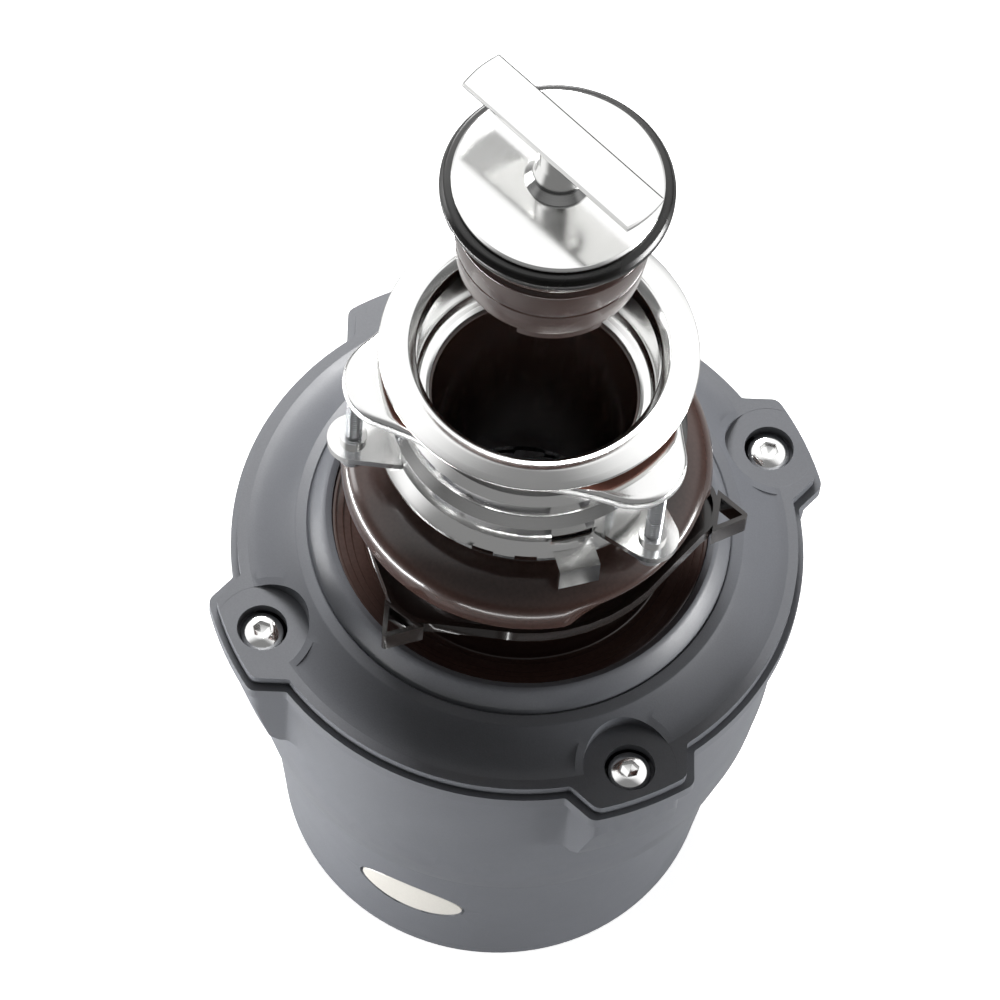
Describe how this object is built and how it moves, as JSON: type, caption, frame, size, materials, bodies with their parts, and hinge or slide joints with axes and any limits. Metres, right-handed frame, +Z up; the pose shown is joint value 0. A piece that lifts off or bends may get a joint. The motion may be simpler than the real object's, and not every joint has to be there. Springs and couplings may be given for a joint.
{
  "type": "garbage disposal",
  "caption": "Grey continuous-feed food waste disposer with a quick-lock sink mount, round body with screw lugs, grinding mechanism, motor and a lifted stopper.",
  "frame": {"origin": "centre of the flat base of the lower shell, on the axis of the body", "axes": "+Z up along the body's axis towards the sink flange, +Y towards the two outlets at the back, +X to the right of somebody who looks at the front with the badge"},
  "size_m": [0.2234, 0.2417, 0.4823],
  "materials": {
    "shell_plastic": "moulded, satin with a fine texture",
    "bright_steel": "polished",
    "cast_zinc": "polished faces with a rough cast edge",
    "steel": "plated",
    "brown_rubber": "moulded, semi-gloss",
    "black_rubber": "moulded",
    "black_enamel": "glossy dark coating",
    "fibre": "pressed fibre",
    "cast_metal": "as cast",
    "hard_cast": "as cast",
    "copper": "enamelled wire",
    "bearing_bronze": "machined",
    "foam": "foam",
    "black_plastic": "moulded",
    "red_plastic": "glossy",
    "badge_film": "bare label"
  },
  "bodies": {
    "disposer": {"top_cover": "shell_plastic", "upper_shell": "shell_plastic", "lower_shell": "shell_plastic", "sink_flange": "bright_steel", "cover_screws": "bright_steel", "mounting_ring": "bright_steel", "backup_flange": "cast_zinc", "mounting_screws": "steel", "snap_ring": "steel", "mount_clamp": "steel", "grind_chamber": "steel", "grind_ring": "steel", "stator_core": "steel", "through_bolts": "steel", "terminal_cover": "steel", "terminal_screw": "steel", "outlet_bolts": "steel", "mount_dome": "brown_rubber", "vibration_mount": "brown_rubber", "seam_seal": "black_rubber", "chamber_gasket": "black_rubber", "shaft_seal": "black_rubber", "outlet_gasket": "black_rubber", "flange_gasket": "fibre", "end_bell": "cast_metal", "lower_frame": "cast_metal", "stator_windings": "copper", "upper_bearing": "bearing_bronze", "lower_bearing": "bearing_bronze", "chamber_insulation": "foam", "start_switch": "black_plastic", "capacitor": "black_plastic", "overload_protector": "black_plastic", "conduit_bushing": "black_plastic", "discharge_outlet": "black_plastic", "dishwasher_inlet": "black_plastic", "inlet_plug": "black_plastic", "badge_plate": "badge_film"},
    "stopper": {"stopper_handle": "bright_steel", "stopper_stem": "bright_steel", "stopper_disc": "bright_steel", "stopper_body": "brown_rubber", "stopper_seal": "black_rubber", "stopper_magnets": "steel"},
    "locking_ring": {"locking_ring": "black_enamel"},
    "rotor": {"shaft": "steel", "rotor_core": "cast_metal", "slinger": "black_rubber", "turntable": "steel", "impeller_pins": "steel", "turntable_nut": "steel"},
    "impeller_a": {"impeller_a": "hard_cast"},
    "impeller_b": {"impeller_b": "hard_cast"},
    "reset_button": {"reset_button": "red_plastic"}
  },
  "joints": [
    {"name": "stopper_lift", "type": "slide", "parent": "disposer", "child": "stopper", "axis": [0, 0, 1], "range_m": [-0.133, 0]},
    {"name": "locking_ring_turn", "type": "hinge", "parent": "disposer", "child": "locking_ring", "pos_m": [0, 0, 0.2445], "axis": [0, 0, 1], "range_deg": [0, 40]},
    {"name": "rotor_spin", "type": "hinge", "parent": "disposer", "child": "rotor", "pos_m": [0, 0, 0.1], "axis": [0, 0, 1], "continuous": true},
    {"name": "impeller_a_swing", "type": "hinge", "parent": "rotor", "child": "impeller_a", "pos_m": [0.04, 0, 0.158], "axis": [0, 0, 1], "continuous": true},
    {"name": "impeller_b_swing", "type": "hinge", "parent": "rotor", "child": "impeller_b", "pos_m": [-0.04, 0, 0.158], "axis": [0, 0, 1], "continuous": true},
    {"name": "reset_press", "type": "slide", "parent": "disposer", "child": "reset_button", "axis": [0, 0, 1], "range_m": [0, 0.003], "stiffness_N_per_m": 400, "springref_m": -0.002}
  ]
}
